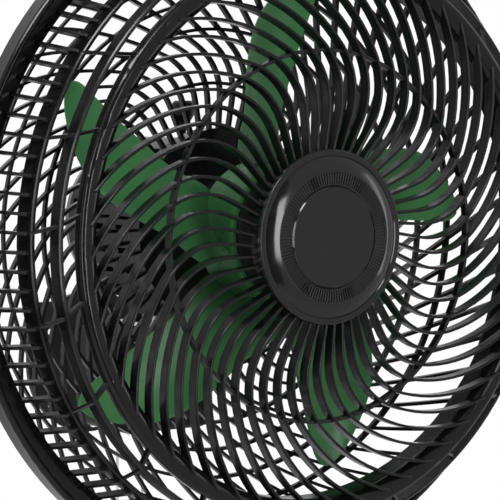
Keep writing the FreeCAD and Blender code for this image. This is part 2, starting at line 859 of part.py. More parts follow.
def gearbox_case():
    outside = box("case_outside", ("- case_left", "case_right"), ("case_back", "frame_back"),
                  (CASE_BOTTOM, "axis_height + case_rise"))
    inside = box("case_inside", ("- case_left + case_wall", "case_right - case_wall"),
                 ("case_back + case_wall", "frame_back - case_wall"),
                 (CAVITY_FLOOR, "axis_height + case_rise"))
    hub_foot = "arm_top + collar_height + seat_gap"
    axis = ("0", "pivot_depth")
    hub = rod("pivot_hub", "z", "hub_radius", (hub_foot, hub_foot + " + hub_height"), axis)
    web = box("hub_web", ("- hub_web_half_width", "hub_web_half_width"), ("pivot_depth", "case_back"),
              (CASE_BOTTOM, hub_foot + " + hub_height"))
    socket = rod("pivot_socket", "z", "pivot_pin_radius + running_fit",
                 (hub_foot, "arm_top + collar_height + pivot_pin_height + seat_gap"), axis)
    window = rod("shaft_window", "depth", "bearing_radius + running_fit",
                 ("frame_back - case_wall", "frame_back"), ("0", "axis_height"))
    gear_seat = rod("gear_seat", "z", "gear_shaft_radius + running_fit",
                    (CAVITY_FLOOR + " - gear_shaft_seat - seat_gap", CAVITY_FLOOR), (WHEEL_X, "gear_depth"))
    crank_way = rod("crank_way", "z", "crank_shaft_radius + running_fit", (CASE_BOTTOM, CAVITY_FLOOR),
                    (CRANK_X, "gear_depth"))
    form = fused("case_form", [outside, hub, web])
    node(cut("case", form, [inside, socket, window, gear_seat, crank_way]), "gearbox_case")
    lid = box("lid_slab", ("- case_left", "case_right"), ("case_back", "frame_back"),
              ("axis_height + case_rise", "axis_height + case_rise + lid_thickness"))
    stem_way = rod("stem_way", "z", "stem_radius + running_fit",
                   ("axis_height + case_rise", "axis_height + case_rise + lid_thickness"),
                   (WHEEL_X, "gear_depth"))
    node(cut("lid", lid, [stem_way]), "gearbox_lid")


def oscillation_gears():
    spot = (WHEEL_X, "gear_depth")
    bottom = CAVITY_FLOOR + " - gear_shaft_seat"
    spindle = rod("gear_spindle", "z", "gear_shaft_radius", (bottom, "axis_height + gear_shaft_top"), spot)
    wheel = rod("worm_wheel", "z", "wheel_radius",
                ("axis_height - wheel_half_height", "axis_height + wheel_half_height"), spot)
    pinion = rod("pinion", "z", "pinion_radius",
                 (CAVITY_FLOOR + " + seat_gap", CAVITY_FLOOR + " + seat_gap + pinion_height"), spot)
    node(fused("gear_shaft_form", [spindle, wheel, pinion]), "gear_shaft")
    axle = (CRANK_X, "gear_depth")
    gear_top = CAVITY_FLOOR + " + seat_gap + crank_gear_height"
    gear = rod("crank_gear", "z", "crank_gear_radius", (CAVITY_FLOOR + " + seat_gap", gear_top), axle)
    disc_top = CASE_BOTTOM + " - seat_gap"
    disc_foot = disc_top + " - crank_thickness"
    shaft = rod("crank_axle", "z", "crank_shaft_radius", (disc_foot, gear_top), axle)
    disc = rod("crank_disc", "z", "crank_radius", (disc_foot, disc_top), axle)
    pin = rod("crank_pin", "z", "crank_pin_radius", (disc_foot + " - crank_pin_length", disc_foot),
              (CRANK_X + " - crank_throw", "gear_depth"))
    node(fused("crank_form", [gear, shaft, disc, pin]), "oscillation_crank")


def oscillation_link():
    """The flat link between the arm's fixed post and the crank's pin."""
    low = size("arm_top") + size("link_lift")
    start = FreeCAD.Vector(-size("link_post_x"), -size("pivot_depth"), low)
    end = FreeCAD.Vector(total(CRANK_X) - size("crank_throw"), -size("gear_depth"), low)
    along = (end - start).normalize()
    side = along.cross(FreeCAD.Vector(0, 0, 1)) * size("link_half_width")
    up = FreeCAD.Vector(0, 0, size("link_thickness"))
    outline = Part.makePolygon([start + side, end + side, end - side, start - side, start + side])
    bar = Part.Face(outline).extrude(up)
    eyes = [Part.makeCylinder(size("link_eye_radius"), up.Length, spot) for spot in (start, end)]
    link = bar.multiFuse(eyes)
    for spot, radius in ((start, size("link_post_radius")), (end, size("crank_pin_radius"))):
        link = link.cut(Part.makeCylinder(radius + size("running_fit"), up.Length, spot))
    node(shaped("link", link), "oscillation_link")


def oscillation_knob():
    stem_top = "axis_height + knob_bottom + stem_socket"
    stem = rod("knob_stem", "z", "stem_radius", ("axis_height + stem_bottom", stem_top),
               (WHEEL_X, "gear_depth"))
    neck = "knob_bottom + knob_neck_length"
    cap = revolved("knob_cap", "XZ_Plane", [
        ("0", "knob_bottom"), ("knob_neck_radius", "knob_bottom"), ("knob_neck_radius", neck),
        ("knob_radius", neck + " + knob_flare_length"), ("knob_radius", "knob_top - knob_edge"),
        ("knob_radius - knob_edge", "knob_top"), ("0", "knob_top")])
    upright(cap, WHEEL_X, "gear_depth", "axis_height")
    node(fused("knob_form", [stem, cap]), "oscillation_knob")


# Motor

def motor_shells():
    inner = "shell_radius - shell_wall"
    front = on_fan_axis(revolved("front_shell", "XY_Plane", [
        ("shell_radius", "shell_split"), ("shell_radius", "shell_front - shell_edge"),
        ("shell_radius - shell_edge", "shell_front"),
        ("nose_radius", "shell_front"), ("nose_radius", "shell_front + nose_length"),
        ("bearing_radius + running_fit", "shell_front + nose_length"),
        ("bearing_radius + running_fit", "shell_front - shell_wall"),
        (inner + " - shell_inner_edge", "shell_front - shell_wall"),
        (inner, "shell_front - shell_wall - shell_inner_edge"),
        (inner, "shell_split")]))
    reach = ("shell_radius - shell_wall - overshoot", "shell_radius + overshoot")
    slot = ("shell_split + vent_inset", "shell_front - vent_inset")
    doc.recompute()
    slotted(front, [(reach[0], slot[0]), (reach[1], slot[0]), (reach[1], slot[1]), (reach[0], slot[1])],
            "vent_width", "vent_count")
    node(front, "motor_front_shell")
    edge = "shell_split - seat_gap"
    rear = on_fan_axis(revolved("rear_shell", "XY_Plane", [
        ("0", "shell_back"), ("shell_back_radius", "shell_back"),
        ("shell_radius - shell_crown_inset", "shell_back + shell_crown_depth"),
        ("shell_radius", "shell_shoulder"), ("shell_radius", edge), (inner, edge),
        (inner, "shell_shoulder + shell_wall"),
        (inner + " - shell_crown_inset", "shell_back + shell_crown_depth + shell_wall"),
        ("shell_back_radius - shell_wall", "shell_back + shell_wall"), ("0", "shell_back + shell_wall")]))
    slot = ("shell_shoulder + vent_rear_inset", "shell_split - vent_inset")
    doc.recompute()
    slotted(rear, [(reach[0], slot[0]), (reach[1], slot[0]), (reach[1], slot[1]), (reach[0], slot[1])],
            "vent_width", "vent_count")
    mouth = box("shell_mouth", ("- case_right - mouth_margin", "case_right + mouth_margin"),
                ("pivot_depth - hub_radius - mouth_margin", "shell_split"),
                ("axis_height - shell_radius - overshoot", "axis_height - shell_radius + mouth_height"))
    stem_hole = rod("stem_hole", "z", "stem_radius + stem_hole_gap",
                    ("axis_height + case_rise", "axis_height + shell_radius"), (WHEEL_X, "gear_depth"))
    node(cut("rear_shell_open", rear, [mouth, stem_hole]), "motor_rear_shell")


def motor_frame():
    """The two metal end bells that hold the stator and the shaft's bearings."""
    inner = "frame_radius - frame_wall"
    front_face = "shell_front - shell_wall"
    bearing = "bearing_radius + running_fit"
    rear = revolved("rear_bell", "XY_Plane", [
        (bearing, "frame_back"), ("frame_radius", "frame_back"), ("frame_radius", "frame_split"),
        (inner, "frame_split"), (inner, "frame_back + frame_wall"), (bearing, "frame_back + frame_wall")])
    node(on_fan_axis(rear), "motor_rear_bell")
    front = revolved("front_bell", "XY_Plane", [
        (bearing, front_face), ("frame_radius", front_face), ("frame_radius", "frame_split"),
        (inner, "frame_split"), (inner, front_face + " - frame_wall"),
        (bearing, front_face + " - frame_wall")])
    node(on_fan_axis(front), "motor_front_bell")
    axis = ("0", "axis_height")
    stack = ("frame_split - stator_half_length", "frame_split + stator_half_length")
    core = tube("stator_core", "depth", inner, "rotor_radius + air_gap", stack, axis)
    node(core, "stator")
    coils = []
    for side, span in (("back", (stack[0] + " - winding_length", stack[0])),
                       ("front", (stack[1], stack[1] + " + winding_length"))):
        coils.append(tube(f"winding_{side}", "depth", "winding_outer", "winding_inner", span, axis))
    group = doc.addObject("Part::Compound", "winding_group")
    group.Links = coils
    node(group, "windings")
    rear_span = ("frame_back - case_wall", "frame_back - case_wall + bearing_length")
    front_span = (front_face + " - bearing_length + shell_wall", "shell_front")
    for side, span in (("rear", rear_span), ("front", front_span)):
        bush = tube(f"bush_{side}", "depth", "bearing_radius", "shaft_radius + running_fit", span, axis)
        node(bush, f"{side}_bearing")


def rotor():
    axis = ("0", "axis_height")
    rod_form = rod("shaft_rod", "depth", "shaft_radius", ("shaft_back", "shaft_front"), axis)
    worm = rod("worm", "depth", "worm_radius",
               ("gear_depth - worm_half_length", "gear_depth + worm_half_length"), axis)
    pin_spot = ("hub_boss_back + drive_pin_radius", "axis_height")
    pin_reach = ("- drive_pin_half_length", "drive_pin_half_length")
    pin_hole = rod("pin_hole", "x", "drive_pin_radius + running_fit",
                   ("- worm_radius", "worm_radius"), pin_spot)
    node(cut("shaft", fused("shaft_form", [rod_form, worm]), [pin_hole]), "shaft")
    stack = ("frame_split - stator_half_length", "frame_split + stator_half_length")
    core = tube("rotor_stack", "depth", "rotor_radius", "shaft_radius + running_fit", stack, axis)
    node(core, "rotor_core")
    node(rod("drive_pin_rod", "x", "drive_pin_radius", pin_reach, pin_spot), "drive_pin")
    start = "hub_front + seat_gap"
    hollow = start + " + spinner_length - spinner_wall"
    spinner = revolved("spinner", "XY_Plane", [
        ("shaft_radius + running_fit", start), ("spinner_boss", start), ("spinner_boss", hollow),
        ("spinner_nose_radius", hollow),
        ("spinner_radius - spinner_taper - spinner_wall", start + " + spinner_shoulder - spinner_wall"),
        ("spinner_radius - spinner_wall", start), ("spinner_radius", start),
        ("spinner_radius", start + " + spinner_skirt"),
        ("spinner_radius - spinner_taper", start + " + spinner_shoulder"),
        ("spinner_nose_radius", start + " + spinner_length"),
        ("0", start + " + spinner_length"), ("0", hollow), ("shaft_radius + running_fit", hollow)])
    node(on_fan_axis(spinner), "spinner_nut")


# Blades

def blade_section(reach):
    """The cambered cross-section of a blade at a distance along its length, leading edge at the back."""
    tip = size("blade_reach")
    square = size("blade_square_reach")
    grown = min(reach / square, 1.0)
    swept = (reach / tip) ** size("blade_sweep_power")
    lead = size("blade_root_lead") + (size("blade_lead") - size("blade_root_lead")) * swept
    chord = size("blade_root_chord") + (size("blade_chord") - size("blade_root_chord")) * grown
    if reach > square:
        gone = (reach - square) / (tip - square)
        chord *= math.sqrt(1 - gone ** 2)
        lead -= size("blade_tip_round") * gone ** size("blade_tip_power")
    rise = size("blade_root_rise") + (size("blade_tip_rise") - size("blade_root_rise")) * reach / tip
    slope = rise / size("blade_chord")
    taper = size("blade_root_thickness") - size("blade_tip_thickness")
    half = (size("blade_root_thickness") - taper * reach / tip) / 2
    camber = size("blade_camber") * (chord / size("blade_chord")) ** 2

    def spot(across, bow, skin):
        depth = size("blade_axis_depth") + slope * across - bow + skin
        return FreeCAD.Vector(reach, -depth, size("axis_height") + across)

    ends = (-lead, -lead + chord)
    centre = -lead + chord / 2
    front = Part.Arc(spot(ends[0], 0, half), spot(centre, camber, half), spot(ends[1], 0, half)).toShape()
    back = Part.Arc(spot(ends[1], 0, -half), spot(centre, camber, -half), spot(ends[0], 0, -half)).toShape()
    close_front = Part.makeLine(spot(ends[1], 0, half), spot(ends[1], 0, -half))
    close_back = Part.makeLine(spot(ends[0], 0, -half), spot(ends[0], 0, half))
    return Part.Wire([front, close_front, back, close_back])


def fan_blades():
    tip = size("blade_reach")
    square = size("blade_square_reach")
    root = size("hub_outer_radius") / 3
    reaches = [root + (square - root) * step / 4 for step in range(5)]
    reaches += [square + (tip - square) * math.sin(math.radians(turn)) for turn in (30, 50, 65, 77, 84)]
    blade = Part.makeLoft([blade_section(reach) for reach in reaches], True)
    outer = size("hub_outer_radius")
    wall = size("hub_wall")
    back = size("hub_back")
    front = size("hub_front")
    inside = outer - wall
    core = outer - wall / 2
    middle = hoop([(0, back - outer), (core, back - outer), (core, front + outer), (0, front + outer)])
    blade = blade.cut(middle)
    bore = size("shaft_radius") + size("running_fit")
    boss = size("hub_boss_radius")
    boss_back = size("hub_boss_back")
    edge = size("hub_edge")
    cup = hoop([(bore, boss_back), (boss, boss_back), (boss, front - wall), (inside, front - wall),
                (inside, back), (outer, back), (outer, front - edge), (outer - edge, front, ROUND),
                (bore, front)])
    count = int(size("blade_count"))
    blades = [spun(blade, size("blade_phase") + index * 360 / count) for index in range(count)]
    pin = size("drive_pin_radius") + size("running_fit")
    slot = Part.makeBox(2 * boss, 2 * pin, 2 * pin)
    slot_back = boss_back + size("drive_pin_radius") + pin
    slot.translate(FreeCAD.Vector(-boss, -slot_back, size("axis_height") - pin))
    node(shaped("fan_blade", cup.multiFuse(blades).cut(slot)), "fan_blade")


# Grilles

def rear_rim_lip():
    return size("rim_radius") - size("rim_wall") - size("seat_gap")


def rear_rim_inner():
    return rear_rim_lip() - size("rear_rim_thickness") - size("rear_rim_flange")


def rear_bowl(lift, thickness):
    """The bowl-shaped layer that the rear ribs or rings lie in, lifted off the back of the bowl."""
    pan = size("shell_front") - size("rear_dish") + lift
    floor = size("rear_rim_depth") + size("rear_rim_floor") - size("rear_thickness") + lift
    start = size("rear_disc_radius") - size("rear_skirt_wall")
    knee = size("rear_bowl_start")
    end = rear_rim_inner() + size("rear_rim_flange") / 2
    swell = size("rear_bowl_swell")
    return hoop([(start, pan), (knee, pan), (end, floor, swell), (end, floor + thickness),
                 (knee, pan + thickness, -swell), (start, pan + thickness)])


def rear_rim():
    """The rim that the front grille's edge closes on, with an inner flange for the ribs' ends."""
    back = size("rear_rim_depth")
    lip = rear_rim_lip()
    shelf = size("rim_back") - size("seat_gap")
    top = size("rim_floor") - size("seat_gap")
    edge = size("rim_radius") - size("rear_rim_inset")
    wall = lip - size("rear_rim_thickness")
    floor = back + size("rear_rim_floor")
    inner = rear_rim_inner()
    return hoop([(inner, back), (edge, back), (edge, shelf), (lip, shelf), (lip, top), (wall, top),
                 (wall, floor), (inner, floor)])


def rear_rings(pan, floor):
    layer = rear_bowl(size("rear_ring_setback"), size("rear_ring_height"))
    width = size("rear_ring_width")
    radii = [size("rear_inner_ring")]
    for index in range(int(size("rear_ring_count"))):
        radii.append(size("rear_outer_ring") + index * size("rear_ring_step"))
    return [strip_hoop(radius, width, floor, floor - pan).common(layer) for radius in radii]


def rear_grille():
    """The bowl behind the blades: a dished middle, curved ribs, rings and the rim."""
    back = size("shell_front")
    front = back + size("rear_thickness")
    hole = size("nose_radius") + size("running_fit")
    disc = size("rear_disc_radius")
    skirt = disc - size("rear_skirt_wall")
    pan = back - size("rear_dish")
    floor = size("rear_rim_depth") + size("rear_rim_floor")
    middle = hoop([(hole, back), (skirt, back), (skirt, pan), (disc, pan), (disc, front), (hole, front)])
    pieces = [rear_rim()] + rear_rings(pan, floor)
    end = rear_rim_inner() + size("rear_rim_flange") / 2
    rib = bowed_rib(disc - size("rear_rib_sink"), end, 0, size("rear_rib_root"), size("rear_rib_bend"),
                    size("rear_rib_bend_turn"), size("rear_rib_sweep"), size("rear_rib_thickness"), floor,
                    floor - pan)
    rib = rib.common(rear_bowl(0, size("rear_thickness")))
    count = int(size("rear_rib_count"))
    for index in range(count):
        pieces.append(spun(rib, index * 360 / count))
    node(shaped("rear_grille", middle.multiFuse(pieces)), "rear_grille")


def ring_nut():
    nut = doc.addObject("PartDesign::Body", "ring_nut")
    disc = nut.newObject("PartDesign::Pad", "nut_disc")
    disc.Profile = circle_sketch(nut, "nut_round", "XZ_Plane", "nut_radius")
    bind(disc, "Length", "nut_length")
    grip = nut.newObject("PartDesign::Pocket", "nut_grip")
    grip.Profile = circle_sketch(nut, "nut_grip_round", "XZ_Plane", "nut_grip_radius",
                                 "nut_radius + nut_grip_outset")
    bind(grip, "Length", "nut_length")
    grip.Reversed = True
    doc.recompute()
    patterned(nut, grip, "Y_Axis", "nut_grips")
    start = "shell_front + rear_thickness + seat_gap"
    place(nut, "0", start, "axis_height")
    bore = rod("nut_bore", "depth", "nose_radius + running_fit", (start, start + " + nut_length"),
               ("0", "axis_height"))
    node(cut("nut", nut, [bore]), "grille_ring_nut")


def grille_face():
    """The spiral ribs with the rings that they cross and end in."""
    front = size("rib_front")
    ring = size("front_ring_radius")
    inner = ring - size("front_ring_width")
    wall = size("front_ring_wall")
    face = size("front_ring_front")
    foot = face - size("front_ring_inner_depth")
    skirt = face - size("front_ring_outer_depth")
    web = face - wall
    pieces = [strip_hoop(size("middle_ring_radius"), size("middle_ring_width"),
                         front - size("middle_ring_setback"), size("middle_ring_depth"))]
    edge = size("front_ring_edge")
    lip = size("front_ring_lip")
    pieces.append(hoop([(inner, foot), (inner, face - lip), (inner + lip, face, ROUND), (ring - edge, face),
                        (ring, face - edge, ROUND), (ring, skirt), (ring - wall, skirt), (ring - wall, web),
                        (inner + lip, web), (inner + wall, face - lip), (inner + wall, foot)]))
    hub = size("grille_hub_radius")
    rib = bowed_rib(hub - size("grille_hub_width") / 2, ring - size("front_ring_width") / 2,
                    size("rib_heading"), size("rib_root"), size("rib_bend"), size("rib_bend_turn"),
                    size("rib_sweep"), size("rib_thickness"), front, size("rib_depth"))
    crest = [edge for edge in rib.Edges
             if edge.BoundBox.YMax < -front + 0.001 and edge.Length > 2 * size("rib_thickness")]
    rib = rib.makeFillet(size("rib_crest"), crest)
    count = int(size("rib_count"))
    pieces += [spun(rib, size("rib_phase") + index * 360 / count) for index in range(count)]
    middle = strip_hoop(hub, size("grille_hub_width"), front, size("grille_hub_depth"))
    return middle.multiFuse(pieces)


def grille_flank():
    """The stepped bands, the bars and struts that carry them, and the outer rim."""
    band = size("band_thickness")
    pieces = []
    for name in ("first_band", "second_band"):
        pieces.append(strip_hoop(size(name + "_radius"), band, size(name + "_front"), size(name + "_depth"),
                                 size("band_edge")))
    rim = size("rim_radius")
    lip = rim - size("rim_wall")
    shelf = lip - size("rim_floor_width")
    front = size("rim_front")
    back = size("rim_back")
    floor = size("rim_floor")
    step = floor + size("rim_floor_thickness")
    whole = hoop([(shelf, floor), (lip, floor), (lip, back), (rim - size("rim_back_edge_width"), back),
                  (rim, back + size("rim_back_edge_height"), ROUND), (rim, front - size("rim_crown_height")),
                  (rim - size("rim_crown_width"), front, ROUND), (lip, front - size("rim_lip_drop"), SWELL),
                  (lip, step), (shelf, step)])
    first = size("first_band_radius")
    first_front = size("first_band_front")
    second = size("second_band_radius")
    second_front = size("second_band_front")
    ring = size("front_ring_radius")
    ring_front = size("front_ring_front")
    overlap = size("overlap")
    shoulder = size("bar_shoulder")
    drop = size("bar_drop")
    height = size("bar_height")
    step_back = size("strut_drop")
    strut_height = size("strut_height")
    thickness = size("bar_thickness")
    outer = shelf + size("bar_root_width")
    root_top = step + size("bar_root_rise")
    root = [(shelf + overlap, floor + overlap), (outer, floor + overlap), (outer, root_top)]
    bar = fin(root + [(first + shoulder, first_front - drop), (first - overlap, first_front - drop),
                      (first - overlap, first_front - drop - height)], thickness)
    leg = fin(root + [(first + shoulder, first_front - step_back), (first - overlap, first_front - step_back),
                      (first - overlap, first_front - step_back - height)], thickness)
    first_turn = -size("strut_first_turn")
    second_turn = first_turn - size("strut_second_turn")
    knee = at(first, 0, first_front - step_back)
    hip = at(second, first_turn, second_front - step_back)
    end = at(ring - overlap, second_turn, ring_front - step_back)
    strut = leg.multiFuse([strip(knee, hip, strut_height, thickness),
                           strip(hip, end, strut_height, thickness)])
    per_strut = int(size("bars_per_strut"))
    count = int(size("strut_count")) * per_strut
    for index in range(count):
        piece = strut if index % per_strut == 0 else bar
        pieces.append(spun(piece, size("bar_phase") + index * 360 / count))
    return whole.multiFuse(pieces)


def front_grille():
    node(shaped("front_grille", grille_face().fuse(grille_flank())), "front_grille")


def front_cap():
    """The glossy cap over the grille's hub, with a band of fine radial grooves."""
    seat = size("rib_front")
    radius = size("cap_radius")
    edge = seat + size("cap_edge_height")
    shoulder = radius - size("cap_edge_width")
    bevel = size("cap_bevel_radius")
    front = seat + size("cap_rise")
    spigot = size("grille_hub_radius") - size("grille_hub_width") - size("seat_gap")
    foot = seat - size("cap_spigot_depth")
    disc = size("cap_disc_radius")
    gutter = size("cap_disc_gutter")
    band = front - size("cap_sink")
    land = bevel - size("cap_land_width")
    turn = size("cap_edge_round")
    swell = size("cap_bevel_swell")
    foot_of_bevel = (shoulder - size("cap_gutter_width"), edge - size("cap_gutter_depth"))
    middle = front + size("cap_disc_lift")
    form = hoop([(0, foot), (spigot, foot), (spigot, seat), (radius, seat), (radius, edge - turn),
                 (radius - turn, edge, ROUND), (shoulder, edge), foot_of_bevel, (bevel, front, swell),
                 (land, front), (land - size("cap_sink"), band), (disc + gutter, band),
                 (disc, front - gutter), (disc - gutter, middle), (0, middle)])
    margin = size("cap_groove_margin")
    floor = band - size("cap_groove_depth")
    groove = wedge(disc + margin, bevel - margin, floor, band, size("cap_groove_width"))
    count = int(size("cap_groove_count"))
    grooves = Part.makeCompound([spun(groove, index * 360 / count) for index in range(count)])
    node(shaped("front_cap", form.cut(grooves)), "front_cap")


# Build, check and write

def build():
    fill_sheet()
    wall_plate()
    tilt_clamp()
    arm_housing()
    arm_cover()
    pull_switches()
    arm_fittings()
    gearbox_case()
    oscillation_gears()
    oscillation_link()
    oscillation_knob()
    motor_shells()
    motor_frame()
    rotor()
    fan_blades()
    rear_grille()
    ring_nut()
    front_grille()
    front_cap()
    doc.recompute()


def check():
    for thing in doc.Objects:
        if "Invalid" in thing.State or "Error" in thing.State:
            raise RuntimeError(f"{thing.Name} failed: {thing.State}")
    for piece in nodes:
        if piece.Shape.isNull() or not piece.Shape.isValid() or not piece.Shape.Solids:
            raise RuntimeError(f"{piece.Label} has no valid solid")


def write():
    os.makedirs("parts", exist_ok=True)
    for piece in nodes:
        piece.Shape.exportStep(f"parts/{piece.Label}.step")
        print(f"{piece.Label}: {len(piece.Shape.Solids)} solids, {piece.Shape.Volume:.1f} mm3")


build()
check()
write()
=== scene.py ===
import math

import bmesh
import bpy
from mathutils import Matrix, Vector


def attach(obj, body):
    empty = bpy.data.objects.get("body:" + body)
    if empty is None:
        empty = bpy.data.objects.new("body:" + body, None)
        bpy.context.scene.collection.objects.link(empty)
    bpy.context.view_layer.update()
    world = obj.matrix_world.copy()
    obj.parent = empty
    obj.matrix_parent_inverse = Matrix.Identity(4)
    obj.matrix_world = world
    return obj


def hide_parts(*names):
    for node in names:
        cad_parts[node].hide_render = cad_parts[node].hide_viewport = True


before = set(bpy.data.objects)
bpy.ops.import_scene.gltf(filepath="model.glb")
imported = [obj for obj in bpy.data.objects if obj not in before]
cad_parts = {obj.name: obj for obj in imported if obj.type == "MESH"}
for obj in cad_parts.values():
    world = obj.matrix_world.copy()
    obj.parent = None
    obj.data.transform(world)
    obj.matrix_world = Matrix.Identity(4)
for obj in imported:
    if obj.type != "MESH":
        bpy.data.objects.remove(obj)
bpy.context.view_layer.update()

# Sizes shared with the solids, in metres
AXIS_HEIGHT = 0.131
CORD_X = 0.0125
CORD_DEPTH = 0.068
CORD_TOP = -0.0475
CORD_LENGTH = 0.11
CORD_DIAMETER = 0.0024

# The cords' look: where the route has its points, and how the strands lie
CORD_DROPS = (0, 0.3, 0.7, 1)
STRAND_SHARE = 0.268
STRAND_COUNT = 3
STRAND_PITCH = 0.0062
STRAND_SIDES = 8

# The photograph's camera
CAMERA_PLACE = Vector((-0.9628, -1.5944, 0.2371))
CAMERA_RIGHT = Vector((0.8142, -0.5806, 0.0))
CAMERA_FORWARD = Vector((0.5791, 0.8120, -0.0732))
CAMERA_LENS = 153.8
CAMERA_SENSOR = 36
CAMERA_REACH = 50

# The studio
LIT_POINT = (0, -0.28, AXIS_HEIGHT)
SKY_COLOUR = (0.94, 0.97, 1.0, 1)
SKY_STRENGTH = 0.25
FLOOR_HALF = 1.2
FLOOR_HEIGHT = -0.5
FLAT_LEFT = (-4.3, -0.6)
FLAT_RIGHT = (0.3, -4.3)
FLAT_BOTTOM = -2.0
FLAT_TOP = 2.6

# The part of a noise texture's range that it really fills
NOISE_LOW = 0.3
NOISE_HIGH = 0.7

# The scale of Blender's wave texture that gives one band to the metre
WAVE_SCALE = 0.314


# Camera, lights and stage

def add_object(name, data):
    thing = bpy.data.objects.new(name, data)
    bpy.context.scene.collection.objects.link(thing)
    return thing


def make_camera():
    data = bpy.data.cameras.new("camera")
    data.lens = CAMERA_LENS
    data.sensor_width = CAMERA_SENSOR
    data.clip_end = CAMERA_REACH
    camera = add_object("camera", data)
    right = CAMERA_RIGHT.normalized()
    back = -CAMERA_FORWARD.normalized()
    up = back.cross(right).normalized()
    turn = Matrix((right, up, back)).transposed().to_4x4()
    camera.matrix_world = Matrix.Translation(CAMERA_PLACE) @ turn
    bpy.context.scene.camera = camera


def area_light(name, place, width, height, power):
    """A rectangular lamp that points at the middle of the fan."""
    data = bpy.data.lights.new(name, "AREA")
    data.shape = "RECTANGLE"
    data.size = width
    data.size_y = height
    data.energy = power
    lamp = add_object(name, data)
    lamp.location = place
    lamp.rotation_euler = (Vector(LIT_POINT) - Vector(place)).to_track_quat("-Z", "Y").to_euler()


def make_lights():
    area_light("front_strip", place=(0.1, -2.7, 0.22), width=0.42, height=1.3, power=34)
    area_light("left_strip", place=(-1.75, -1.4, 0.3), width=0.4, height=1.6, power=26)
    area_light("top_key", place=(-1.0, -0.75, 1.65), width=0.9, height=0.5, power=42)
    area_light("right_fill", place=(2.0, -1.2, 0.2), width=0.3, height=1.4, power=6)
    area_light("top_back", place=(0.2, 0.7, 1.7), width=1.4, height=0.8, power=10)


def make_world():
    """White where camera, glossy and transmitted rays see past the fan, and softer for the light it casts."""
    world = bpy.data.worlds.new("studio")
    bpy.context.scene.world = world
    bpy.context.scene.view_settings.view_transform = "Standard"
    world.use_nodes = True
    nodes = world.node_tree.nodes
    links = world.node_tree.links
    nodes.clear()
    path = nodes.new("ShaderNodeLightPath")
    direct = nodes.new("ShaderNodeMath")
    direct.operation = "MAXIMUM"
    links.new(path.outputs["Is Camera Ray"], direct.inputs[0])
    links.new(path.outputs["Is Transmission Ray"], direct.inputs[1])
    seen = nodes.new("ShaderNodeMath")
    seen.operation = "MAXIMUM"
    links.new(direct.outputs[0], seen.inputs[0])
    links.new(path.outputs["Is Glossy Ray"], seen.inputs[1])
    soft = nodes.new("ShaderNodeBackground")
    soft.inputs["Color"].default_value = SKY_COLOUR
    soft.inputs["Strength"].default_value = SKY_STRENGTH
    white = nodes.new("ShaderNodeBackground")
    white.inputs["Color"].default_value = (1, 1, 1, 1)
    mix = nodes.new("ShaderNodeMixShader")
    links.new(seen.outputs[0], mix.inputs[0])
    links.new(soft.outputs[0], mix.inputs[1])
    links.new(white.outputs[0], mix.inputs[2])
    out = nodes.new("ShaderNodeOutputWorld")
    links.new(mix.outputs[0], out.inputs[0])


def stage_plane(name, corners, finish, grey, roughness):
    """A flat sheet of the studio, in one matt grey."""
    mesh = bpy.data.meshes.new(name)
    mesh.from_pydata(corners, [], [(0, 1, 2, 3)])
    plane = add_object(name, mesh)
    material = bpy.data.materials.new(finish)
    material.use_nodes = True
    shader = material.node_tree.nodes["Principled BSDF"]
    shader.inputs["Base Color"].default_value = (grey, grey, grey, 1)
    shader.inputs["Roughness"].default_value = roughness
    mesh.materials.append(material)
    return plane


def make_floor():
    low, high = -FLOOR_HALF, FLOOR_HALF
    corners = [(x, y, FLOOR_HEIGHT) for x, y in ((low, low), (high, low), (high, high), (low, high))]
    stage_plane("floor", corners, "floor_paper", grey=0.86, roughness=0.9)


def make_dark_flat():
    """A dark studio flat behind the camera, mirrored by the black plastic and not seen itself."""
    corners = [(*FLAT_LEFT, FLAT_BOTTOM), (*FLAT_RIGHT, FLAT_BOTTOM), (*FLAT_RIGHT, FLAT_TOP), (*FLAT_LEFT, FLAT_TOP)]
    flat = stage_plane("dark_flat", corners, "dark_felt", grey=0.02, roughness=1.0)
    flat.visible_camera = False


# Materials

